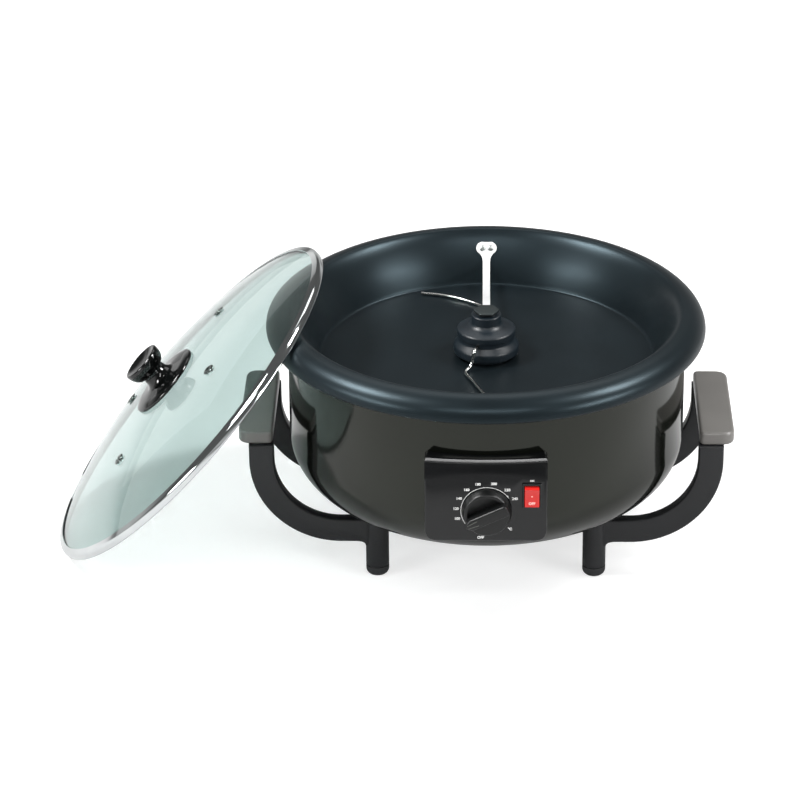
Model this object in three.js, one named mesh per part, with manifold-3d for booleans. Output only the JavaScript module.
// Home coffee bean roaster: a stirred, heated non-stick pan in a steel drum, with a loose glass lid.
// Millimetres, +Z up. While the pieces are made the pan's axis is the Z axis and the table is z = 0.
// At the end the whole group moves sideways, so that its own box is centred over the origin.
import * as THREE from 'three';
import { mergeVertices } from 'three/addons/utils/BufferGeometryUtils.js';
import Module from 'manifold-3d';

const wasm = await Module();
wasm.setup();

// Clearances: pieces at rest on each other, pieces that turn or slide, and the overrun of a cut
const seatGap = 0.3;
const runGap = 0.6;
const overrun = 3;

// How many flat sides stand for a round piece, by its size
const sides = { large: 32, medium: 16, small: 10, screw: 6, wire: 5, hex: 6, arc: 5, corner: 3, bend: 2 };

// The heights add up from the table: the legs, the chamber for motor and switches, the heater's space
const stack = { legs: 62, chamber: 88, heaterSpace: 19 };

// Pan: a pressed bowl with a broad rolled lip
const pan = {
  rimRadius: 176, lipWidth: 19, lipDrop: 15.4, wall: 2, depth: 42.5, wallLean: 12.5,
  cornerRun: 6.5, cornerRise: 9, rollRun: 6, rollRise: 5, hemRadius: 3,
};
pan.underside = stack.legs + stack.chamber + stack.heaterSpace;
pan.floorHeight = pan.underside + pan.wall;
pan.rimHeight = pan.floorHeight + pan.depth;
pan.crestRadius = pan.rimRadius - pan.lipWidth;
pan.wallTopRadius = pan.crestRadius - pan.rollRun;
pan.wallTopHeight = pan.rimHeight - pan.rollRise;
pan.footRadius = pan.wallTopRadius - pan.wallLean;
pan.footHeight = pan.floorHeight + pan.cornerRise;
pan.floorRadius = pan.footRadius - pan.cornerRun;
pan.wallSlope = (pan.wallTopHeight - pan.footHeight) / pan.wallLean;

// Drum: the steel outer body, with a rounded lower corner and an inward bottom flange. Its upper edge
// stands under the pan's lip, a little outside the lip's crest
const drum = { besideCrest: 3, wall: 1.2, cornerWidth: 52, cornerHeight: 46, flangeWidth: 24 };
drum.radius = pan.crestRadius + drum.besideCrest;
drum.innerRadius = drum.radius - drum.wall;
drum.bottomHeight = stack.legs;
drum.cornerTop = drum.bottomHeight + drum.cornerHeight;
drum.flatRadius = drum.radius - drum.cornerWidth;
drum.flangeRadius = drum.flatRadius - drum.flangeWidth;

// Base plate that closes the drum's flange from below, with its air slots and its screws
const plate = {
  overlap: 10, thick: 1.2, slotCount: 12, slotInnerShare: 0.43, slotOuterShare: 0.74, slotWidth: 5,
  screwCount: 4,
};
plate.radius = drum.flangeRadius + plate.overlap;
plate.screwRadius = drum.flangeRadius + plate.overlap / 2;

// Centre of the pan: a raised tube that keeps oil in, its bush, the drive shaft and the hub
const tube = { outerRadius: 8, innerRadius: 6, above: 13, below: 9, collarRadius: 14, collarThick: 1.6 };
const shaft = { radius: 4, intoMotor: 9, intoHub: 8 };
const hub = {
  footRadius: 22, footHeight: 3, ringRadius: 26.4, ringHeight: 6.5, shoulderRadius: 22.5, shoulderRise: 4.5,
  recessHeight: 4, flangeRadius: 23.6, flangeHeight: 5.5, domeRise: 2.6, domeRadius: 14,
  neckRadius: 12, neckHeight: 9.4, edge: 0.8, pinDepth: 9,
};
const wire = { radius: 1.25, seatDepth: 6, boreSlack: 0.3, lift: 0.45 };
const pivot = { acrossCorners: 21, thick: 1.8, pinRadius: 3.2 };

// Bright steel strip that runs from the pan's rear wall to the top of the hub
const strip = {
  width: 6, thick: 1.2, headDrop: 9, lobeRadius: 5.4, screwSpacing: 6.7, neckLength: 11,
  headLength: 14, eyeRadius: 7, bendRadius: 3, lowRise: 14.5, wallRun: 9, slopeShare: 0.9, riseShare: 0.53,
};
strip.headHeight = pan.wallTopHeight - strip.headDrop;
strip.wallEnd = strip.headHeight - strip.wallRun;
strip.lowHeight = pan.floorHeight + strip.lowRise;
const bracketScrew = {
  headRadius: 2.5, headHeight: 1.5, shankRadius: 1.6, shankLength: 8, nutRadius: 3.2, nutThick: 2,
};

// Arms, foot columns, rubber feet and hand grips, the same on all four corners
const arm = {
  y: 55, thick: 11, bandWidth: 20, standOff: 30, belowDrum: 31, outerRadius: 73, upright: 14.2, bevel: 1.4,
  columnRadius: 9.4, gusset: 8, tenonWidth: 12, tenonThick: 4, tenonHeight: 6,
};
arm.outerX = drum.radius + arm.standOff;
arm.bendX = arm.outerX - arm.outerRadius;
arm.bendZ = drum.bottomHeight - arm.belowDrum + arm.outerRadius;
arm.top = arm.bendZ + arm.upright;
arm.columnX = Math.sqrt((plate.radius + arm.columnRadius + seatGap) ** 2 - arm.y ** 2);
const foot = { height: 8.5, flatRadius: 4.5, domeHeight: 5.1, plugRadius: 4.5, plugHeight: 6 };
const grip = {
  width: 27.6, overhang: 8.5, pastArm: 3, thick: 10.5, outerCorner: 10, innerCorner: 4, bevel: 2,
};
grip.outerX = arm.outerX + grip.overhang;
grip.innerX = grip.outerX - grip.width;
grip.halfLength = arm.y + grip.pastArm;
grip.low = arm.top + seatGap;

// Control box on the drum's front, with a dial knob and a rocker switch
const box = {
  rise: 31, height: 72.6, standOff: 12, sideMargin: 4.4, wall: 2.4, lowerCorner: 9, upperCorner: 3, bevel: 2,
  bossInset: 6.3, bossRise: 4, bossRadius: 3.6, openingInset: 12.3, openingMargin: 8,
};
box.bottomZ = drum.bottomHeight + box.rise;
box.middleZ = box.bottomZ + box.height / 2;
box.frontY = -drum.radius - box.standOff;
const knob = {
  x: 0.8, rise: 26.8, radius: 19.2, discDepth: 8, barLength: 36, barWidth: 9, barHeight: 6.5, edge: 1.6,
  boreDepth: 6, restAngle: 205.5, shaftRadius: 3, bushRadius: 4.6,
};
knob.z = box.bottomZ + knob.rise;
const thermostat = { radius: 15, depth: 15, socketDepth: 3.75 };
const rocker = {
  besideKnob: 7.9, aboveKnob: 13.6, bezelWidth: 15, bezelHeight: 21, bezelStand: 1.8, rim: 1.55, endRim: 1.6,
  depth: 6.5, pivotDepth: 3.5, crown: 1.6, tilt: 10, bezelCorner: 0.6, caseSink: 3, caseWall: 1, lug: 2,
};
rocker.x = knob.x + knob.radius + rocker.besideKnob + rocker.bezelWidth / 2;
rocker.z = knob.z + rocker.aboveKnob;
rocker.width = rocker.bezelWidth - 2 * rocker.rim;
rocker.height = rocker.bezelHeight - 2 * rocker.endRim;
rocker.caseDepth = box.standOff + rocker.caseSink;
box.halfWidth = rocker.x + rocker.bezelWidth / 2 + box.sideMargin;
box.bossX = box.halfWidth - box.bossInset;
box.bossZ = drum.cornerTop + box.bossRise;
box.openingHalfWidth = box.halfWidth - box.openingInset;

// What the drum holds: heat shield, heating ring, gear motor, safety cut-out, terminals, cord gland
const shield = { wall: 1, flatInset: 10.8, cornerRun: 5, rise: 12, holeRadius: 13 };
shield.height = drum.bottomHeight + stack.chamber;
shield.flatRadius = drum.innerRadius - shield.flatInset;
const heater = {
  radius: 92, tubeRadius: 3.4, arcDegrees: 325, tailDrop: 11, clipCount: 3, clipWidth: 9, clipLength: 12,
};
const motor = {
  radius: 26, height: 20, gearRadius: 21, gearHeight: 8, earReach: 36, earWidth: 12, earThick: 2.4,
  screwRadius: 1.9,
};
const cutout = { radius: 7.5, baseRadius: 11, baseThick: 2.5, x: -48, y: 30 };
const terminal = {
  x: 0, fromFlange: 34, width: 42, depth: 16, height: 15, wells: 3, wellRadius: 3.2, wellDepth: 9,
};
terminal.y = drum.flangeRadius - terminal.fromFlange;
const gland = {
  aboveCorner: 14, flangeRadius: 10, waistRadius: 6.5, boreRadius: 3.8, flangeThick: 3, innerRadius: 9,
};
gland.z = drum.cornerTop + gland.aboveCorner;
const screw = { shankRadius: 1.7, headRadius: 3.4, headHeight: 2.2, length: 8 };

// Glass lid: it stands on its edge on the table and leans over the pan's lip
const lid = {
  beyondCrest: 4, bandWidth: 6, bandWall: 0.9, domeHeight: 30, glass: 3.6, holeRadius: 4.4,
  tilt: 47, leanGap: 0.7, leanY: 17, ventRadius: 78, ventCount: 4, ventHole: 3.4, ventFlange: 5,
  ventThick: 1.2,
};
lid.radius = pan.crestRadius + lid.beyondCrest;
lid.glassRadius = lid.radius - lid.bandWall - seatGap;
const lidKnob = {
  flangeRadius: 32.5, flangeThick: 4, dish: 2.2, waistRadius: 8.5, waistHeight: 8, topRadius: 17.5,
  topHeight: 11, boreRadius: 2.4, boreDepth: 14, washerRadius: 10, washerThick: 1.5, screwRadius: 2.1,
  headRadius: 4.4, headHeight: 2.6,
};

const material = (colour, roughness, metalness = 0) => () =>
  new THREE.MeshStandardMaterial({ color: colour, roughness, metalness });
const finish = {
  panCoating: material('#1f2427', 0.35),
  drumEnamel: material('#2b2b2a', 0.3, 0.2),
  blackPlastic: material('#2c2d2f', 0.45),
  armPlastic: material('#303133', 0.5),
  gripPlastic: material('#5a5755', 0.4),
  rubber: material('#191a1b', 0.85),
  brightSteel: material('#d4d6d8', 0.2, 1),
  zincSteel: material('#8d9291', 0.4, 0.9),
  redPlastic: material('#d8413c', 0.35),
  hubPlastic: material('#23282d', 0.4),
  glass: material('#cfe3dc', 0.05),
  bronze: material('#a87f4a', 0.35, 1),
  sheetSteel: material('#9da2a4', 0.45, 0.9),
  sheathSteel: material('#6f7475', 0.5, 0.8),
  ceramic: material('#e8e4da', 0.7),
  glossBlack: material('#141516', 0.15),
  chrome: material('#dfe2e3', 0.1, 1),
};

const roaster = new THREE.Group();
const lidGroup = new THREE.Group();
const radians = THREE.MathUtils.degToRad;
const at = (x, y) => new THREE.Vector2(x, y);

// Basic operations

// One closed surface: shared corners merged, slivers dropped, faces pointing out
function closed(geometry) {
  const bare = new THREE.BufferGeometry();
  bare.setAttribute('position', geometry.attributes.position.clone());
  if (geometry.index) bare.setIndex(geometry.index.clone());
  const welded = mergeVertices(bare);
  const index = Array.from(welded.index.array);
  const p = welded.attributes.position;
  const kept = [];
  let volume = 0;
  for (let i = 0; i < index.length; i += 3) {
    const [a, b, c] = index.slice(i, i + 3);
    if (a === b || b === c || a === c) continue;
    kept.push([a, b, c]);
    const v = [a, b, c].map((k) => new THREE.Vector3().fromBufferAttribute(p, k));
    volume += v[0].dot(v[1].clone().cross(v[2]));
  }
  welded.setIndex(kept.flatMap(([a, b, c]) => (volume < 0 ? [a, c, b] : [a, b, c])));
  return welded;
}

function solidOf(geometry) {
  const g = closed(geometry);
  const vertProperties = new Float32Array(g.attributes.position.array);
  const triVerts = new Uint32Array(g.index.array);
  return new wasm.Manifold(new wasm.Mesh({ numProp: 3, vertProperties, triVerts }));
}

function geometryOf(solid) {
  const mesh = solid.getMesh();
  const geometry = new THREE.BufferGeometry();
  geometry.setAttribute('position', new THREE.BufferAttribute(new Float32Array(mesh.vertProperties), 3));
  geometry.setIndex(Array.from(mesh.triVerts));
  return geometry;
}

function join(...pieces) {
  return geometryOf(pieces.map(solidOf).reduce((whole, next) => whole.add(next)));
}

function cut(piece, ...tools) {
  return geometryOf(tools.map(solidOf).reduce((rest, tool) => rest.subtract(tool), solidOf(piece)));
}

function keepCommon(piece, tool) {
  return geometryOf(solidOf(piece).intersect(solidOf(tool)));
}

// A profile of (radius, height) points turned about the Z axis
function turned(points, count = sides.medium) {
  const geometry = new THREE.LatheGeometry(points, count);
  geometry.rotateX(Math.PI / 2);
  return closed(geometry);
}

// A flat outline lifted along +Z by a height, from a start height
function lifted(shape, height, start = 0, bevel = 0, curveSegments = sides.corner) {
  const geometry = new THREE.ExtrudeGeometry(shape, {
    depth: height - 2 * bevel, bevelEnabled: bevel > 0, bevelThickness: bevel, bevelSize: bevel,
    bevelOffset: -bevel, bevelSegments: 1, curveSegments,
  });
  geometry.translate(0, 0, start + bevel);
  return closed(geometry);
}

function rod(radius, start, end, count = sides.small) {
  return turned([at(0, start), at(radius, start), at(radius, end), at(0, end)], count);
}

function block(width, depth, height, x, y, z) {
  return new THREE.BoxGeometry(width, depth, height).translate(x, y, z);
}

// The same piece on another spot; the matrix comes from the three axes that it lies along
function along(geometry, xAxis, yAxis, zAxis, x, y, z) {
  const matrix = new THREE.Matrix4().makeBasis(xAxis, yAxis, zAxis).setPosition(x, y, z);
  return geometry.clone().applyMatrix4(matrix);
}

const axisX = new THREE.Vector3(1, 0, 0);
const axisY = new THREE.Vector3(0, 1, 0);
const axisZ = new THREE.Vector3(0, 0, 1);
const backX = axisX.clone().negate();
const backY = axisY.clone().negate();

// Laid along the front: the outline's X stays, its Y goes up, its height comes towards the front
const facing = (geometry, x, y, z) => along(geometry, axisX, axisZ, backY, x, y, z);

function roundShape(radius, count) {
  const points = [];
  for (let i = 0; i < count; i += 1) {
    const a = (2 * Math.PI * i) / count;
    points.push(at(radius * Math.cos(a), radius * Math.sin(a)));
  }
  return new THREE.Shape(points);
}

// A rectangle with one corner radius on the side of low Y and another on the side of high Y
function panelShape(width, height, lowCorner, highCorner) {
  const w = width / 2;
  const h = height / 2;
  const shape = new THREE.Shape();
  shape.moveTo(-w + lowCorner, -h);
  shape.lineTo(w - lowCorner, -h);
  shape.absarc(w - lowCorner, -h + lowCorner, lowCorner, -Math.PI / 2, 0);
  shape.lineTo(w, h - highCorner);
  shape.absarc(w - highCorner, h - highCorner, highCorner, 0, Math.PI / 2);
  shape.lineTo(-w + highCorner, h);
  shape.absarc(-w + highCorner, h - highCorner, highCorner, Math.PI / 2, Math.PI);
  shape.lineTo(-w, -h + lowCorner);
  shape.absarc(-w + lowCorner, -h + lowCorner, lowCorner, Math.PI, 1.5 * Math.PI);
  return shape;
}

// The closed outline of a sheet whose one face follows the line; a positive wall lies to its right
function sheetOutline(line, wall) {
  const other = line.map((p, i) => {
    const before = line[Math.max(i - 1, 0)];
    const after = line[Math.min(i + 1, line.length - 1)];
    const a = (i > 0 ? p.clone().sub(before) : after.clone().sub(p)).normalize();
    const b = (i < line.length - 1 ? after.clone().sub(p) : p.clone().sub(before)).normalize();
    const mean = a.clone().add(b).normalize();
    const reach = wall / Math.max(mean.dot(a), 0.5);
    return at(p.x + mean.y * reach, p.y - mean.x * reach);
  });
  return [...line, ...other.reverse()];
}

const turnedSheet = (line, wall, count) => {
  const outline = sheetOutline(line, wall);
  return turned([...outline, outline[0]], count);
};

// A line whose inner corners are rounded
function rounded(points, radius) {
  const line = [points[0]];
  for (let i = 1; i < points.length - 1; i += 1) {
    const p = points[i];
    const back = points[i - 1].clone().sub(p);
    const on = points[i + 1].clone().sub(p);
    const start = p.clone().add(back.setLength(Math.min(radius, back.length() / 2)));
    const end = p.clone().add(on.setLength(Math.min(radius, on.length() / 2)));
    line.push(...new THREE.QuadraticBezierCurve(start, p, end).getPoints(2));
  }
  line.push(points[points.length - 1]);
  return line;
}

function swept(curve, radius, steps, count) {
  const settings = { steps, extrudePath: curve, bevelEnabled: false };
  return closed(new THREE.ExtrudeGeometry(roundShape(radius, count), settings));
}

// A screw that points down from the underside of its head at z = 0
function screwBody(size, length = size.length) {
  const { shankRadius, headRadius, headHeight } = size;
  return turned([
    at(0, -length), at(shankRadius, -length), at(shankRadius, 0), at(headRadius, 0),
    at(headRadius - headHeight / 3, headHeight), at(0, headHeight),
  ], sides.screw);
}

function around(count, radius, start, make) {
  const copies = [];
  for (let i = 0; i < count; i += 1) {
    const a = start + (2 * Math.PI * i) / count;
    copies.push(make(radius * Math.cos(a), radius * Math.sin(a), a));
  }
  return copies;
}

function add(name, geometry, make, parent = roaster) {
  const mesh = new THREE.Mesh(geometry, make());
  mesh.name = name;
  parent.add(mesh);
  return mesh;
}

// Repeated pieces, each a mesh of its own with a number after its name
function addEach(name, geometries, make, parent = roaster) {
  geometries.forEach((geometry, i) => add(`${name}_${i + 1}`, geometry, make, parent));
}

// Pan with its rolled lip, centre tube and bush

const wallRadiusAt = (z) => pan.footRadius + (z - pan.footHeight) / pan.wallSlope;

function panLine() {
  const path = new THREE.Path();
  const wallFoot = at(wallRadiusAt(pan.floorHeight), pan.floorHeight);
  const wallHead = at(wallRadiusAt(pan.rimHeight), pan.rimHeight);
  const corner = new THREE.QuadraticBezierCurve(
    at(pan.floorRadius, pan.floorHeight), wallFoot, at(pan.footRadius, pan.footHeight));
  const roll = new THREE.QuadraticBezierCurve(
    at(pan.wallTopRadius, pan.wallTopHeight), wallHead, at(pan.crestRadius, pan.rimHeight));
  const { crestRadius, lipWidth, lipDrop } = pan;
  const widest = pan.rimHeight - lipDrop;
  const lip = new THREE.EllipseCurve(crestRadius, widest, lipWidth, lipDrop, Math.PI / 2, 0, true);
  path.absarc(pan.rimRadius - pan.hemRadius, widest, pan.hemRadius, 0, -Math.PI / 2, true);
  return [
    at(tube.outerRadius + seatGap, pan.floorHeight),
    ...corner.getPoints(sides.bend),
    ...roll.getPoints(sides.bend),
    ...lip.getPoints(sides.arc).slice(1),
    ...path.getPoints(sides.bend).slice(1),
  ];
}

const wallLength = Math.hypot(1, pan.wallSlope);
const wallUp = new THREE.Vector3(0, 1 / wallLength, pan.wallSlope / wallLength);
const wallOut = axisX.clone().cross(wallUp);

// A piece drawn flat, laid on the rear wall: its Y runs up the wall and its Z points into the bowl
const onWall = (geometry, x, upBy, lift) => {
  const spot = new THREE.Vector3(0, wallRadiusAt(strip.headHeight), strip.headHeight);
  spot.addScaledVector(wallUp, upBy).addScaledVector(wallOut, lift);
  return along(geometry, axisX, wallUp, wallOut, x, spot.y, spot.z);
};

function makePan() {
  const bowl = turnedSheet(panLine(), pan.wall, sides.large);
  const hole = rod(bracketScrew.shankRadius + seatGap, -pan.wall - overrun, overrun, sides.screw);
  const holes = [-1, 1].map((side) => onWall(hole, (side * strip.screwSpacing) / 2, 0, 0));
  add('pan', cut(bowl, ...holes), finish.panCoating);
}

function makeCentreTube() {
  const low = pan.underside - tube.below;
  const collarTop = pan.underside - seatGap;
  const top = pan.floorHeight + tube.above;
  add('centre_tube', turned([
    at(tube.innerRadius, low), at(tube.outerRadius, low), at(tube.outerRadius, collarTop - tube.collarThick),
    at(tube.collarRadius, collarTop - tube.collarThick), at(tube.collarRadius, collarTop),
    at(tube.outerRadius, collarTop), at(tube.outerRadius, top), at(tube.innerRadius, top),
    at(tube.innerRadius, low),
  ], sides.small), finish.sheetSteel);
  const inner = shaft.radius + seatGap;
  const outer = tube.innerRadius - seatGap;
  add('shaft_bush', turned([
    at(inner, low), at(outer, low), at(outer, top), at(inner, top), at(inner, low),
  ], sides.small), finish.bronze);
}

// Stirrer: drive shaft, hub and the two bent wires that sweep the pan's floor

const hubLow = pan.floorHeight + runGap;
const hubRing = hubLow + hub.footHeight;
const hubShoulder = hubRing + hub.ringHeight;
const hubRecess = hubShoulder + hub.shoulderRise;
const hubFlange = hubRecess + hub.recessHeight;
const hubFlangeTop = hubFlange + hub.flangeHeight;
const hubNeck = hubFlangeTop + hub.domeRise;
const hubTop = hubNeck + hub.neckHeight;
const tubeTop = pan.floorHeight + tube.above;
const shaftTop = tubeTop + runGap + shaft.intoHub;
const motorTop = shield.height - shield.wall - seatGap;
const wireHeight = hubRecess + hub.recessHeight / 2;

function hubProfile() {
  const bore = shaft.radius + seatGap;
  const hollow = tube.outerRadius + runGap;
  const pin = pivot.pinRadius + seatGap;
  const e = hub.edge;
  return [
    at(0, shaftTop + seatGap), at(bore, shaftTop + seatGap), at(bore, tubeTop + runGap),
    at(hollow, tubeTop + runGap), at(hollow, hubLow), at(hub.footRadius, hubLow), at(hub.footRadius, hubRing),
    at(hub.ringRadius, hubRing + e), at(hub.ringRadius, hubShoulder - e), at(hub.ringRadius - e, hubShoulder),
    at(hub.shoulderRadius, hubRecess), at(hub.shoulderRadius, hubFlange), at(hub.flangeRadius, hubFlange),
    at(hub.flangeRadius, hubFlangeTop - e), at(hub.flangeRadius - e, hubFlangeTop),
    at(hub.domeRadius, hubNeck), at(hub.neckRadius, hubNeck), at(hub.neckRadius, hubTop - e),
    at(hub.neckRadius - e, hubTop), at(pin, hubTop), at(pin, hubTop - hub.pinDepth - seatGap),
    at(0, hubTop - hub.pinDepth - seatGap),
  ];
}

// Route of one wire: out of the hub's recess, down beside the ring, then an S sweep over the floor.
// The radial places are shares of the floor's radius, the angles are in degrees round the axis.
const wireSweepShares = [
  [0.305, -114], [0.42, -100.5], [0.553, -92.4], [0.668, -87.4], [0.75, -81.6], [0.815, -76.8],
  [0.877, -71.5], [0.92, -67.6], [0.957, -64.6],
];
const wireExit = -108;

function wireCurve() {
  const onCircle = (radius, degrees, z) => {
    const a = radians(degrees);
    return new THREE.Vector3(radius * Math.cos(a), radius * Math.sin(a), z);
  };
  const low = pan.floorHeight + wire.lift + wire.radius;
  const bend = hub.ringRadius + wire.radius + runGap;
  const points = [
    onCircle(hub.shoulderRadius - wire.seatDepth, wireExit, wireHeight),
    onCircle(hub.shoulderRadius, wireExit, wireHeight),
    onCircle(bend + wire.radius, wireExit - 1, wireHeight - wire.radius),
    onCircle(bend + 2 * wire.radius, wireExit - 2, hubShoulder),
    onCircle(bend + 4 * wire.radius, wireExit - 4, low + 2 * wire.radius),
    ...wireSweepShares.map(([share, degrees]) => onCircle(share * pan.floorRadius, degrees, low)),
  ];
  return new THREE.CatmullRomCurve3(points, false, 'centripetal');
}

function makeStirrer() {
  add('drive_shaft', rod(shaft.radius, motorTop - shaft.intoMotor, shaftTop), finish.zincSteel);
  const curve = wireCurve();
  const wireSolid = swept(curve, wire.radius, sides.large, sides.wire);
  const start = curve.getPoint(0);
  const outward = new THREE.Vector3(start.x, start.y, 0).normalize();
  const across = axisZ.clone().cross(outward);
  const bore = rod(wire.radius + wire.boreSlack, -seatGap, hub.flangeRadius, sides.small);
  const holes = [1, -1].map((turn) => {
    const out = outward.clone().multiplyScalar(turn);
    const side = across.clone().multiplyScalar(turn);
    return along(bore, side, axisZ, out, turn * start.x, turn * start.y, wireHeight);
  });
  add('stirrer_hub', cut(turned(hubProfile()), ...holes), finish.hubPlastic);
  add('stirrer_wire_front', wireSolid, finish.brightSteel);
  add('stirrer_wire_rear', wireSolid.clone().rotateZ(Math.PI), finish.brightSteel);
}

// Strip, its two screws and the hexagonal pivot cap over the hub

// The head's flat back rests on the curved wall by its two edges, so its middle stands off a little
const headHalfWidth = strip.lobeRadius + strip.screwSpacing / 2;
const headLift = seatGap + headHalfWidth * Math.tan(Math.PI / sides.large);
const eyeLow = hubTop + seatGap;
const eyeTop = eyeLow + strip.thick;

function headShape() {
  const half = strip.screwSpacing / 2;
  const r = strip.lobeRadius;
  const w = strip.width / 2;
  const shape = new THREE.Shape();
  shape.moveTo(-w, -strip.headLength);
  shape.lineTo(w, -strip.headLength);
  shape.lineTo(w, -strip.neckLength);
  shape.quadraticCurveTo(w, -r, half + r * Math.cos(radians(-40)), r * Math.sin(radians(-40)));
  shape.absarc(half, 0, r, radians(-40), radians(105));
  shape.absarc(-half, 0, r, radians(75), radians(220));
  shape.quadraticCurveTo(-w, -r, -w, -strip.neckLength);
  return shape;
}

function stripLine() {
  const off = (z) => wallRadiusAt(z) - ((headLift + strip.thick) * wallLength) / pan.wallSlope;
  const start = strip.headHeight - strip.neckLength / 2;
  return rounded([
    at(off(start), start),
    at(off(strip.wallEnd), strip.wallEnd),
    at(pan.floorRadius, strip.wallEnd - strip.bendRadius),
    at(pan.floorRadius * strip.slopeShare, strip.lowHeight),
    at(pan.floorRadius * strip.riseShare, strip.lowHeight + strip.bendRadius),
    at(hub.flangeRadius, eyeTop),
    at(0, eyeTop),
  ], strip.bendRadius);
}

function makeCentreStrip() {
  const screwHole = rod(bracketScrew.shankRadius + seatGap, -overrun, strip.thick + overrun, sides.screw);
  const holes = [-1, 1].map((side) => onWall(screwHole, (side * strip.screwSpacing) / 2, 0, 0));
  const head = onWall(lifted(headShape(), strip.thick), 0, 0, headLift);
  const outline = sheetOutline(stripLine(), -strip.thick);
  const flat = lifted(new THREE.Shape(outline), strip.width);
  const band = along(flat, axisY, axisZ, axisX, -strip.width / 2, 0, 0);
  const eye = rod(strip.eyeRadius, eyeLow, eyeTop, sides.small);
  const eyeHole = rod(pivot.pinRadius + seatGap, eyeLow - overrun, eyeTop + overrun, sides.small);
  const trimY = -(strip.eyeRadius + strip.width) / 2;
  const frontTrim = block(strip.width * 2, strip.eyeRadius, overrun * 2, 0, trimY, eyeTop);
  add('centre_strip', cut(join(head, band, eye), eyeHole, ...holes, frontTrim), finish.brightSteel);

  const face = headLift + strip.thick + seatGap;
  const nutTop = -face - pan.wall - seatGap;
  const nut = rod(bracketScrew.nutRadius, nutTop - bracketScrew.nutThick, nutTop, sides.hex);
  const bolt = join(screwBody(bracketScrew, bracketScrew.shankLength), nut);
  const screws = [-1, 1].map((side) => onWall(bolt, (side * strip.screwSpacing) / 2, 0, face));
  addEach('strip_screw', screws, finish.zincSteel);

  const capLow = eyeTop + seatGap;
  const cap = rod(pivot.acrossCorners / 2, capLow, capLow + pivot.thick, sides.hex);
  const pin = rod(pivot.pinRadius, hubTop - hub.pinDepth, capLow + seatGap, sides.small);
  add('pivot_cap', join(cap, pin), finish.zincSteel);
}

// Drum and base plate

function drumLine() {
  const corner = new THREE.EllipseCurve(
    drum.flatRadius, drum.cornerTop, drum.cornerWidth, drum.cornerHeight, -Math.PI / 2, 0, false);
  return corner.getPoints(sides.arc);
}

// Height at which the drum's upper edge carries the inside of the pan's lip
function lipUnderside() {
  const across = (drum.radius - pan.crestRadius) / pan.lipWidth;
  return pan.rimHeight - pan.lipDrop * (1 - Math.sqrt(1 - across * across)) - pan.wall;
}

const drumTop = lipUnderside() - 2 * seatGap;
const baseScrewSpots = (make) => around(plate.screwCount, plate.screwRadius, 0, make);

const corners = [
  ['front_left', -1, -1], ['front_right', 1, -1], ['rear_left', -1, 1], ['rear_right', 1, 1],
];

function makeDrum() {
  const line = [at(drum.flangeRadius, drum.bottomHeight), ...drumLine(), at(drum.radius, drumTop)];
  const shell = turnedSheet(line, -drum.wall, sides.large);
  const low = drum.bottomHeight - overrun;
  const high = drum.bottomHeight + drum.wall + overrun;
  const screwHole = rod(screw.shankRadius + seatGap, low, high, sides.screw);
  const screwHoles = baseScrewSpots((x, y) => screwHole.clone().translate(x, y, 0));
  const columnHoles = corners.map(([, sideX, sideY]) =>
    screwHole.clone().translate(sideX * arm.columnX, sideY * arm.y, 0));
  const width = 2 * box.openingHalfWidth;
  const height = box.height - 2 * box.openingMargin;
  const opening = block(width, drum.cornerWidth, height, 0, -drum.radius, box.middleZ);
  const glandHole = rod(gland.waistRadius + seatGap, -drum.wall - overrun, overrun, sides.small);
  const rearHole = along(glandHole, backX, axisZ, axisY, 0, drum.radius, gland.z);
  const bossHoles = [-1, 1].map((side) => {
    const hole = rod(screw.shankRadius + seatGap, -overrun, drum.radius / 4, sides.screw);
    return facing(hole, side * box.bossX, -drum.innerRadius + drum.cornerWidth / 2, box.bossZ);
  });
  add('drum', cut(shell, ...screwHoles, ...columnHoles, opening, rearHole, ...bossHoles), finish.drumEnamel);
}

const plateTop = drum.bottomHeight - seatGap;

function makeBasePlate() {
  const disc = roundShape(plate.radius, sides.medium);
  const half = plate.slotWidth / 2;
  const slotInner = plate.slotInnerShare * drum.flangeRadius;
  const slotOuter = plate.slotOuterShare * drum.flangeRadius;
  around(plate.slotCount, 1, 0, (cos, sin) => {
    const slot = [[slotInner, -half], [slotOuter, -half], [slotOuter, half], [slotInner, half]];
    disc.holes.push(new THREE.Path(slot.map(([r, t]) => at(r * cos - t * sin, r * sin + t * cos))));
  });
  const screwHole = roundShape(screw.shankRadius + seatGap, sides.screw).getPoints();
  baseScrewSpots((x, y) => disc.holes.push(new THREE.Path(screwHole.map((p) => at(p.x + x, p.y + y)))));
  add('base_plate', lifted(disc, plate.thick, plateTop - plate.thick), finish.sheetSteel);
  const head = plateTop - plate.thick - seatGap;
  const screws = baseScrewSpots((x, y) => screwBody(screw).rotateX(Math.PI).translate(x, y, head));
  addEach('base_screw', screws, finish.zincSteel);
}

// Arms, foot columns, rubber feet and hand grips

const columnTop = drum.bottomHeight - seatGap;
const bandInner = arm.outerRadius - arm.bandWidth;
const tenonX = arm.outerX - arm.bandWidth / 2;

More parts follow.
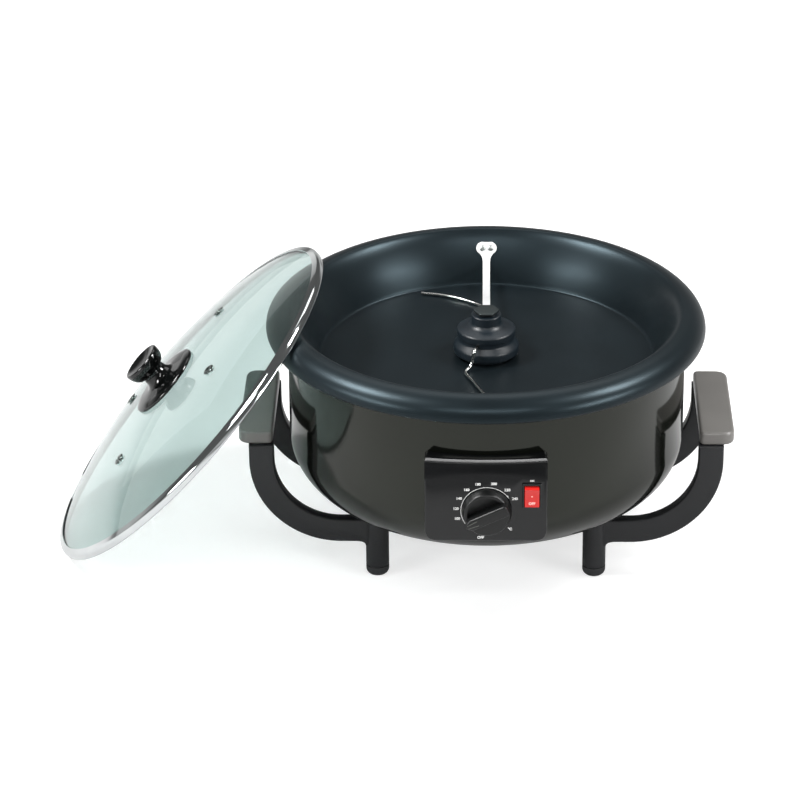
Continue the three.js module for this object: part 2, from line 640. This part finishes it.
// Side view of one arm: a straight top, a quarter bend, a level foot and a gusset under it
function armShape() {
  const { bendX, bendZ, outerX, outerRadius, columnX, columnRadius } = arm;
  const low = bendZ - outerRadius;
  const gusset = Math.min(arm.gusset, (bendX - columnX - columnRadius) / 2);
  const shape = new THREE.Shape();
  shape.moveTo(outerX, arm.top);
  shape.lineTo(outerX, bendZ);
  shape.absarc(bendX, bendZ, outerRadius, 0, -Math.PI / 2, true);
  shape.lineTo(columnX + columnRadius + gusset, low);
  shape.quadraticCurveTo(columnX + columnRadius, low, columnX + columnRadius, low - gusset / 2);
  shape.lineTo(columnX, low - gusset / 2);
  shape.lineTo(columnX, bendZ - bandInner);
  shape.lineTo(bendX, bendZ - bandInner);
  shape.absarc(bendX, bendZ, bandInner, -Math.PI / 2, 0);
  shape.lineTo(bendX + bandInner, arm.top);
  return shape;
}

function makeArm(name, sideX, sideY) {
  const band = lifted(armShape(), arm.thick, -arm.thick / 2, arm.bevel, sides.arc);
  const upright = along(band, axisX, axisZ, backY, 0, sideY * arm.y, 0);
  const column = rod(arm.columnRadius, foot.height + seatGap, columnTop, sides.small);
  const screwLow = columnTop - 2 * screw.length;
  const screwBore = rod(screw.shankRadius + seatGap, screwLow, columnTop + overrun, sides.screw);
  const plugTop = foot.height + foot.plugHeight + 2 * seatGap;
  const plugBore = rod(foot.plugRadius + seatGap, 0, plugTop, sides.small);
  for (const piece of [column, screwBore, plugBore]) piece.translate(arm.columnX, sideY * arm.y, 0);
  const { tenonWidth, tenonThick, tenonHeight } = arm;
  const tenonZ = arm.top + tenonHeight / 2 - seatGap;
  const tenon = block(tenonWidth, tenonThick, tenonHeight, tenonX, sideY * arm.y, tenonZ);
  const whole = cut(join(upright, column, tenon), screwBore, plugBore);
  add(`arm_${name}`, sideX < 0 ? closed(whole.scale(-1, 1, 1)) : whole, finish.armPlastic);
}

function makeFoot(name, sideX, sideY) {
  const r = arm.columnRadius;
  const { flatRadius, domeHeight } = foot;
  const dome = new THREE.EllipseCurve(
    flatRadius, domeHeight, r - flatRadius, domeHeight, -Math.PI / 2, 0, false);
  add(`foot_${name}`, turned([
    at(0, 0), ...dome.getPoints(sides.bend), at(r, foot.height), at(foot.plugRadius, foot.height),
    at(foot.plugRadius, foot.height + foot.plugHeight), at(0, foot.height + foot.plugHeight),
  ], sides.small).translate(sideX * arm.columnX, sideY * arm.y, 0), finish.rubber);
}

function makeColumnScrews() {
  const screws = corners.map(([, sx, sy]) => screwBody(screw, screw.length * 2 - overrun)
    .translate(sx * arm.columnX, sy * arm.y, drum.bottomHeight + drum.wall + seatGap));
  addEach('column_screw', screws, finish.zincSteel);
}

function makeGrip(name, side) {
  const width = grip.outerX - grip.innerX;
  const shape = panelShape(2 * grip.halfLength, width, grip.innerCorner, grip.outerCorner);
  const bar = lifted(shape, grip.thick, grip.low, grip.bevel, sides.corner);
  const middle = (grip.outerX + grip.innerX) / 2;
  const laid = along(bar, backY, axisX, axisZ, middle, 0, 0);
  const depth = arm.tenonHeight + seatGap + overrun;
  const pocketWidth = arm.tenonWidth + 2 * seatGap;
  const pocketThick = arm.tenonThick + 2 * seatGap;
  const pocketZ = grip.low + depth / 2 - overrun;
  const pockets = [-1, 1].map((end) => block(pocketWidth, pocketThick, depth, tenonX, end * arm.y, pocketZ));
  const whole = cut(laid, ...pockets);
  add(`grip_${name}`, side < 0 ? closed(whole.scale(-1, 1, 1)) : whole, finish.gripPlastic);
}

// Control box, knob, thermostat and rocker switch

// The drum's outside as a solid, grown by a clearance, for trimming what sits against it
function drumPlug(growth) {
  const line = drumLine().map((p) => at(p.x + growth, p.y));
  const wall = [at(drum.radius + growth, drumTop), at(0, drumTop)];
  return turned([at(0, line[0].y - growth), ...line, ...wall], sides.large);
}

function makeControlBox() {
  const { halfWidth, height, wall } = box;
  const outer = panelShape(2 * halfWidth, height, box.lowerCorner, box.upperCorner);
  const inner = panelShape(2 * (halfWidth - wall), height - 2 * wall, box.lowerCorner - wall, wall / 2);
  const back = drum.radius - drum.cornerWidth / 2;
  const depth = -box.frontY - back;
  const shell = facing(lifted(outer, depth + box.bevel, 0, box.bevel), 0, -back + box.bevel, box.middleZ);
  const hollow = facing(lifted(inner, depth - wall + overrun), 0, -back + overrun, box.middleZ);
  const boss = rod(box.bossRadius, 0, depth - wall / 2, sides.screw);
  const bosses = [-1, 1].map((side) => facing(boss, side * box.bossX, -back, box.bossZ));
  const bossBore = rod(screw.shankRadius + seatGap, 0, depth - 1.5 * wall, sides.screw);
  const bossBores = [-1, 1].map((side) => facing(bossBore, side * box.bossX, -back, box.bossZ));
  const bushHole = facing(rod(knob.bushRadius + seatGap, 0, depth + overrun), knob.x, -back, knob.z);
  const caseWidth = rocker.bezelWidth - rocker.lug + 2 * seatGap;
  const caseHeight = rocker.bezelHeight - rocker.lug + 2 * seatGap;
  const switchHole = block(caseWidth, drum.cornerWidth, caseHeight, rocker.x, box.frontY, rocker.z);
  const body = join(cut(shell, hollow), ...bosses);
  add('control_box', cut(body, drumPlug(seatGap), bushHole, switchHole, ...bossBores), finish.blackPlastic);

  const wallReach = drum.innerRadius * Math.cos(Math.PI / sides.large);
  const inside = -Math.sqrt(wallReach ** 2 - (box.bossX + screw.headRadius) ** 2) + 2 * seatGap;
  const reach = inside - box.frontY - 2 * wall;
  const fixing = along(screwBody(screw, reach), backX, axisZ, axisY, 0, inside, box.bossZ);
  const screws = [-1, 1].map((side) => fixing.clone().translate(side * box.bossX, 0, 0));
  addEach('box_screw', screws, finish.zincSteel);
}

function barShape() {
  const half = knob.barLength / 2;
  const w = knob.barWidth / 2;
  const shape = new THREE.Shape();
  shape.moveTo(-half, -w);
  shape.lineTo(half - w, -w);
  shape.lineTo(half, -w / 4);
  shape.lineTo(half, w / 4);
  shape.lineTo(half - w, w);
  shape.lineTo(-half, w);
  return shape;
}

function makeKnob() {
  const { radius, discDepth, edge } = knob;
  const bore = knob.shaftRadius + seatGap;
  const disc = turned([
    at(bore, 0), at(radius, 0), at(radius, discDepth - edge), at(radius - edge, discDepth), at(0, discDepth),
    at(0, knob.boreDepth), at(bore, knob.boreDepth), at(bore, 0),
  ], sides.medium);
  const bar = lifted(barShape(), knob.barHeight + edge, discDepth - edge, knob.edge / 2);
  bar.rotateZ(radians(knob.restAngle));
  const knobY = box.frontY - runGap;
  add('temperature_knob', facing(join(disc, bar), knob.x, knobY, knob.z), finish.glossBlack);
  const spindleLow = -runGap - box.wall - thermostat.socketDepth;
  const spindle = rod(knob.shaftRadius, spindleLow, knob.boreDepth - seatGap);
  add('knob_shaft', facing(spindle, knob.x, knobY, knob.z), finish.zincSteel);
}

function makeThermostat() {
  const front = -box.wall - seatGap;
  const bore = knob.shaftRadius + seatGap;
  const socket = front - thermostat.socketDepth - runGap;
  const { radius, depth } = thermostat;
  const body = turned([
    at(0, front - depth), at(radius, front - depth), at(radius, front - seatGap), at(radius - seatGap, front),
    at(knob.bushRadius, front), at(knob.bushRadius, -seatGap), at(bore, -seatGap), at(bore, socket),
    at(0, socket),
  ], sides.small);
  add('thermostat', facing(body, knob.x, box.frontY, knob.z), finish.ceramic);
}

function makeSwitch() {
  const { bezelWidth, bezelHeight, bezelCorner, caseDepth, caseWall, lug } = rocker;
  const bezelShape = panelShape(bezelWidth, bezelHeight, bezelCorner, bezelCorner);
  const bezel = lifted(bezelShape, rocker.bezelStand, seatGap);
  const caseShape = panelShape(bezelWidth - lug, bezelHeight - lug, bezelCorner, bezelCorner);
  const body = lifted(caseShape, caseDepth + 2 * seatGap, -caseDepth);
  const hollowDepth = caseDepth - caseWall + overrun;
  const hollow = block(
    rocker.width + 2 * seatGap, rocker.height + 2 * seatGap, hollowDepth, 0, 0, overrun - hollowDepth / 2);
  const whole = cut(join(bezel, body), hollow);
  add('switch_body', facing(whole, rocker.x, box.frontY, rocker.z), finish.blackPlastic);
}

// The rocker button turns on an axis along X, behind its face; at rest its lower half is pushed in
function makeRocker() {
  const h = rocker.height / 2 - runGap;
  const face = rocker.pivotDepth;
  const shape = new THREE.Shape();
  shape.moveTo(-h, face - rocker.depth);
  shape.lineTo(-h / 2, face - rocker.depth - rocker.crown);
  shape.lineTo(h / 2, face - rocker.depth - rocker.crown);
  shape.lineTo(h, face - rocker.depth);
  shape.lineTo(h, face + rocker.crown);
  shape.quadraticCurveTo(0, face - rocker.crown / 2, -h, face + rocker.crown);
  const bar = lifted(shape, rocker.width - 2 * seatGap, -rocker.width / 2 + seatGap);
  bar.rotateZ(radians(rocker.tilt));
  const pivotY = box.frontY - rocker.bezelStand + rocker.pivotDepth - rocker.crown / 2;
  add('rocker_button', along(bar, axisZ, backY, axisX, rocker.x, pivotY, rocker.z), finish.redPlastic);
}

// Inside the drum

const heaterZ = pan.underside - seatGap - heater.tubeRadius;
const earScrewX = motor.earReach - motor.earWidth / 2;

function makeShield() {
  const { height, flatRadius, cornerRun } = shield;
  const line = [
    at(shield.holeRadius, height), at(flatRadius, height), at(flatRadius + cornerRun, height + cornerRun),
    at(drum.innerRadius - seatGap - shield.wall, height + shield.rise),
  ];
  const tray = turnedSheet(line, shield.wall, sides.medium);
  const hole = rod(motor.screwRadius + seatGap, height - overrun, height + overrun, sides.screw);
  const holes = [-1, 1].map((side) => hole.clone().translate(side * earScrewX, 0, 0));
  const clipTop = heaterZ - heater.tubeRadius - seatGap;
  const clipLow = shield.height - shield.wall / 2;
  const clip = block(heater.clipLength, heater.clipWidth, clipTop - clipLow, 0, 0, (clipTop + clipLow) / 2);
  const clips = around(heater.clipCount, heater.radius, Math.PI / 2, (x, y, a) =>
    clip.clone().rotateZ(a).translate(x, y, 0));
  const inside = rod(drum.innerRadius - seatGap, drum.bottomHeight, pan.rimHeight, sides.large);
  add('heat_shield', keepCommon(join(cut(tray, ...holes), ...clips), inside), finish.sheetSteel);
}

// Each end of the ring turns down: shares of the tube's own width round the ring, and of the drop
const heaterTailShares = [[-1, 1], [-0.9, 0.62], [-0.3, 0.28], [1, 0.07], [2.6, 0.01]];

function makeHeater() {
  const half = radians(heater.arcDegrees) / 2;
  const start = Math.PI / 2;
  const points = [];
  const spot = (a, drop) =>
    new THREE.Vector3(heater.radius * Math.cos(a), heater.radius * Math.sin(a), heaterZ - drop);
  const open = heater.tubeRadius / heater.radius;
  for (const [turnShare, dropShare] of heaterTailShares) {
    points.push(spot(start - half + turnShare * open, dropShare * heater.tailDrop));
  }
  const tailTurn = open * (heaterTailShares[heaterTailShares.length - 1][0] + 2);
  for (let i = 0; i <= sides.medium; i += 1) {
    points.push(spot(start - half + tailTurn + (2 * (half - tailTurn) * i) / sides.medium, 0));
  }
  for (const [turnShare, dropShare] of [...heaterTailShares].reverse()) {
    points.push(spot(start + half - turnShare * open, dropShare * heater.tailDrop));
  }
  const curve = new THREE.CatmullRomCurve3(points, false, 'centripetal');
  add('heating_ring', swept(curve, heater.tubeRadius, sides.large, sides.hex), finish.sheathSteel);
}

function makeMotor() {
  const gearLow = motorTop - motor.gearHeight;
  const bore = shaft.radius + seatGap;
  const body = turned([
    at(0, gearLow - motor.height), at(motor.gearRadius, gearLow - motor.height),
    at(motor.gearRadius, gearLow - motor.height / 2), at(motor.radius, gearLow - motor.height / 2),
    at(motor.radius, motorTop), at(bore, motorTop), at(bore, motorTop - shaft.intoMotor - seatGap),
    at(0, motorTop - shaft.intoMotor - seatGap),
  ], sides.medium);
  const ears = block(2 * motor.earReach, motor.earWidth, motor.earThick, 0, 0, motorTop - motor.earThick / 2);
  const core = rod(bore, motorTop - shaft.intoMotor - seatGap, motorTop + overrun);
  const screwLow = shield.height - screw.length - seatGap;
  const hole = rod(motor.screwRadius + seatGap, screwLow, motorTop + overrun, sides.screw);
  const holes = [-1, 1].map((side) => hole.clone().translate(side * earScrewX, 0, 0));
  add('gear_motor', cut(join(body, ears), core, ...holes), finish.zincSteel);
  const fixing = screwBody({ ...screw, shankRadius: motor.screwRadius });
  const seat = shield.height + seatGap;
  const screws = [-1, 1].map((side) => fixing.clone().translate(side * earScrewX, 0, seat));
  addEach('motor_screw', screws, finish.zincSteel);
}

function makeSmallParts() {
  const low = shield.height + seatGap;
  const top = pan.underside - seatGap;
  add('thermal_cutout', turned([
    at(0, low), at(cutout.baseRadius, low), at(cutout.baseRadius, low + cutout.baseThick),
    at(cutout.radius, low + cutout.baseThick), at(cutout.radius, top), at(0, top),
  ], sides.small).translate(cutout.x, cutout.y, 0), finish.ceramic);

  const barLow = plateTop + seatGap;
  const bar = block(terminal.width, terminal.depth, terminal.height, terminal.x, terminal.y, 0);
  bar.translate(0, 0, barLow + terminal.height / 2);
  const wells = [];
  const pitch = terminal.width / terminal.wells;
  const wellTop = barLow + terminal.height;
  const well = rod(terminal.wellRadius, wellTop - terminal.wellDepth, wellTop + overrun, sides.screw);
  for (let i = 0; i < terminal.wells; i += 1) {
    const x = terminal.x + pitch * (i - (terminal.wells - 1) / 2);
    wells.push(well.clone().translate(x, terminal.y, 0));
  }
  add('terminal_block', cut(bar, ...wells), finish.ceramic);

  const inFace = -drum.wall - seatGap - gland.innerRadius * Math.tan(Math.PI / sides.large);
  const collar = turned([
    at(gland.boreRadius, inFace - gland.flangeThick), at(gland.innerRadius, inFace - gland.flangeThick),
    at(gland.innerRadius, inFace), at(gland.waistRadius, inFace), at(gland.waistRadius, seatGap),
    at(gland.flangeRadius, seatGap), at(gland.flangeRadius, seatGap + gland.flangeThick / 2),
    at(gland.flangeRadius - gland.flangeThick / 2, seatGap + gland.flangeThick),
    at(gland.boreRadius, seatGap + gland.flangeThick), at(gland.boreRadius, inFace - gland.flangeThick),
  ], sides.small);
  add('cord_gland', along(collar, backX, axisZ, axisY, 0, drum.radius, gland.z), finish.rubber);
}

// Lid, drawn level over its own origin and then leaned

const glassEdge = lid.bandWall + seatGap;

// Height of the glass's upper face over the band's lower edge, at a radius
const domeAt = (r) => glassEdge + lid.glass + (lid.domeHeight - glassEdge - lid.glass)
  * (Math.sqrt(1 - 0.5 * (r / lid.glassRadius) ** 2) - Math.sqrt(0.5)) / (1 - Math.sqrt(0.5));

// A piece on each vent's place, square to the glass, its own z = 0 on the glass's upper face
function onVents(make) {
  const { ventRadius, ventFlange } = lid;
  const drop = domeAt(ventRadius - ventFlange) - domeAt(ventRadius + ventFlange);
  const slope = Math.atan2(drop, 2 * ventFlange);
  return around(lid.ventCount, ventRadius, Math.PI / lid.ventCount, (x, y, a) =>
    make().rotateY(slope).rotateZ(a).translate(x, y, domeAt(ventRadius)));
}

function makeLidGlass() {
  const line = [];
  const steps = sides.arc;
  for (let i = 0; i <= steps; i += 1) {
    const r = lid.holeRadius + ((lid.glassRadius - lid.holeRadius) * i) / steps;
    line.push(at(r, domeAt(r)));
  }
  const outline = [...line, ...line.map((p) => at(p.x, p.y - lid.glass)).reverse()];
  const dome = turned([...outline, outline[0]], sides.large);
  const holes = onVents(() => rod(lid.ventHole + seatGap, -lid.glass - overrun, overrun, sides.small));
  add('lid_glass', cut(dome, ...holes), finish.glass, lidGroup);
}

function makeLidBand() {
  const { radius, bandWidth, bandWall } = lid;
  const top = glassEdge + lid.glass + bandWall + seatGap;
  const inner = radius - bandWidth;
  const slope = domeAt(inner) - domeAt(lid.glassRadius);
  const outline = [
    at(inner, 0), at(radius - bandWall, 0), at(radius, bandWall), at(radius, top - bandWall),
    at(radius - bandWall, top), at(inner, top + slope), at(inner, top + slope - bandWall),
    at(radius - bandWall, top - bandWall), at(radius - bandWall, bandWall), at(inner, bandWall),
  ];
  add('lid_rim_band', turned([...outline, outline[0]], sides.large), finish.chrome, lidGroup);
}

function makeLidKnob() {
  const top = domeAt(0) + seatGap;
  const k = lidKnob;
  const waistLow = top + k.flangeThick + k.dish;
  const topLow = waistLow + k.waistHeight;
  const rim = topLow + k.topHeight;
  const cap = new THREE.EllipseCurve(
    k.waistRadius, rim, k.topRadius - k.waistRadius, k.topHeight, -Math.PI / 2, 0, false);
  const profile = [
    at(k.boreRadius, top), at(k.flangeRadius / 2, top), at(k.flangeRadius, top),
    at(k.flangeRadius, top + k.flangeThick / 2), at(k.flangeRadius - k.dish, top + k.flangeThick),
    at(k.waistRadius + k.dish, waistLow - k.dish / 2), at(k.waistRadius, waistLow),
    ...cap.getPoints(sides.corner), at(k.topRadius - k.dish, rim + k.dish / 2),
    at(k.topRadius / 2, rim - k.dish / 2), at(0, rim - k.dish), at(0, top + k.boreDepth),
    at(k.boreRadius, top + k.boreDepth), at(k.boreRadius, top),
  ];
  add('lid_knob', turned(profile, sides.medium), finish.glossBlack, lidGroup);

  const under = domeAt(k.washerRadius) - lid.glass - seatGap;
  const bore = k.screwRadius + seatGap;
  add('lid_washer', turned([
    at(bore, under - k.washerThick), at(k.washerRadius, under - k.washerThick), at(k.washerRadius, under),
    at(bore, under), at(bore, under - k.washerThick),
  ], sides.small), finish.rubber, lidGroup);
  const headTop = under - k.washerThick - seatGap;
  const size = { shankRadius: k.screwRadius, headRadius: k.headRadius, headHeight: k.headHeight };
  const length = top + k.boreDepth - seatGap - headTop;
  const knobScrew = screwBody(size, length).rotateX(Math.PI).translate(0, 0, headTop);
  add('lid_knob_screw', knobScrew, finish.zincSteel, lidGroup);
}

function makeLidVents() {
  const { ventHole, ventFlange, ventThick } = lid;
  const bore = ventHole / 2;
  const seat = 2 * seatGap;
  const low = -lid.glass;
  const eyelets = onVents(() => turned([
    at(bore, low), at(ventHole, low), at(ventHole, seat), at(ventFlange, seat),
    at(ventFlange, seat + ventThick / 2), at(ventFlange - ventThick / 2, seat + ventThick),
    at(bore, seat + ventThick), at(bore, low),
  ], sides.small));
  addEach('lid_vent', eyelets, finish.chrome, lidGroup);
}

// The lid stands on its lower edge and slides up to the pan until a small gap is left at the lip
function leanLid() {
  lidGroup.rotation.y = -radians(lid.tilt);
  lidGroup.position.y = lid.leanY;
  lidGroup.updateMatrixWorld(true);
  lidGroup.position.z = -new THREE.Box3().setFromObject(lidGroup, true).min.z;
  lidGroup.updateMatrixWorld(true);
  const placed = lidGroup.children.map((piece) => piece.geometry.clone().applyMatrix4(piece.matrixWorld));
  const leaning = solidOf(join(...placed));
  const bowl = solidOf(roaster.getObjectByName('pan').geometry);
  let apart = -2 * (pan.rimRadius + lid.radius);
  let across = 0;
  while (across - apart > lid.leanGap / 100) {
    const middle = (apart + across) / 2;
    const gap = leaning.translate(middle, 0, 0).minGap(bowl, 2 * lid.leanGap);
    if (gap < lid.leanGap) across = middle;
    else apart = middle;
  }
  lidGroup.position.x = apart;
}

// Assembly

makePan();
makeCentreTube();
makeStirrer();
makeCentreStrip();
makeDrum();
makeBasePlate();
for (const [name, sideX, sideY] of corners) {
  makeArm(name, sideX, sideY);
  makeFoot(name, sideX, sideY);
}
makeColumnScrews();
makeGrip('left', -1);
makeGrip('right', 1);
makeControlBox();
makeKnob();
makeThermostat();
makeSwitch();
makeRocker();
makeShield();
makeHeater();
makeMotor();
makeSmallParts();
makeLidGlass();
makeLidBand();
makeLidKnob();
makeLidVents();

leanLid();
roaster.add(lidGroup);
roaster.updateMatrixWorld(true);

const bounds = new THREE.Box3().setFromObject(roaster, true);
const centre = bounds.getCenter(new THREE.Vector3());
roaster.position.set(-centre.x, -centre.y, -bounds.min.z);
roaster.updateMatrixWorld(true);

export default roaster;
